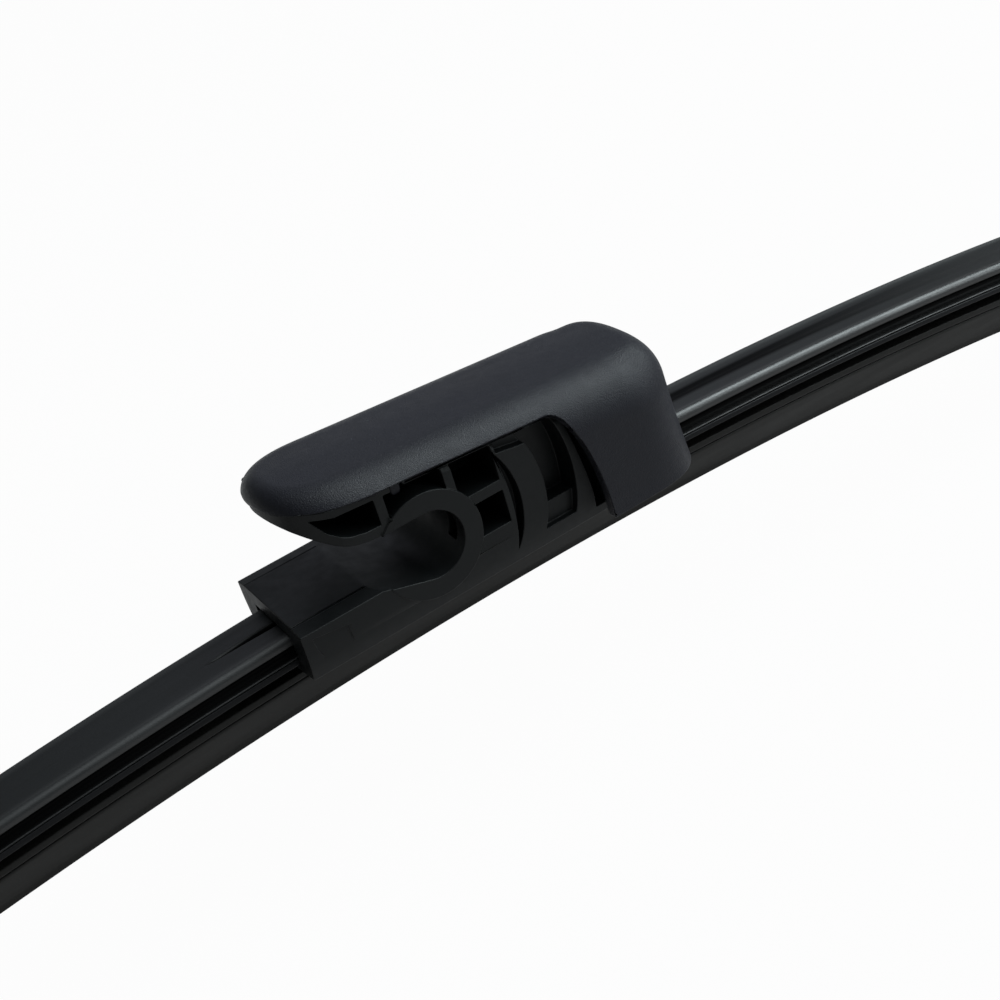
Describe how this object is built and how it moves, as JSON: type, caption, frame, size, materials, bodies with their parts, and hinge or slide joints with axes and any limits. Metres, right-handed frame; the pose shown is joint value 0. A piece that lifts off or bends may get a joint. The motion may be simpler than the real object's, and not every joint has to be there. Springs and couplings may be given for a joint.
{
  "type": "wiper blade",
  "caption": "Flat-beam rear wiper blade with a moulded C-hook adapter for a cross pin, under an inclined skirted cover cap.",
  "frame": {"origin": "centre of the hook's bore, where the arm's cross pin sits, on the blade's middle plane", "axes": "+X along the blade towards the skirted end of the cap, +Y across the blade along the pin, +Z away from the glass"},
  "size_m": [0.3302, 0.023, 0.0487],
  "materials": {
    "wiping_rubber": "graphite-coated natural rubber, satin",
    "rail_steel": "spring steel with a thin black coat, satin",
    "cover_rubber": "extruded elastomer, satin",
    "body_plastic": "moulded black polymer, fine satin",
    "cap_plastic": "moulded black polymer with a fine spark-eroded texture",
    "end_plastic": "moulded black polymer, fine satin"
  },
  "bodies": {
    "root": {"wiper_rubber": "wiping_rubber", "rail_near": "rail_steel", "rail_far": "rail_steel", "cover_left": "cover_rubber", "cover_right": "cover_rubber", "adapter_body": "body_plastic", "adapter_cap": "cap_plastic", "end_cap_left": "end_plastic", "end_cap_right": "end_plastic"}
  },
  "joints": []
}
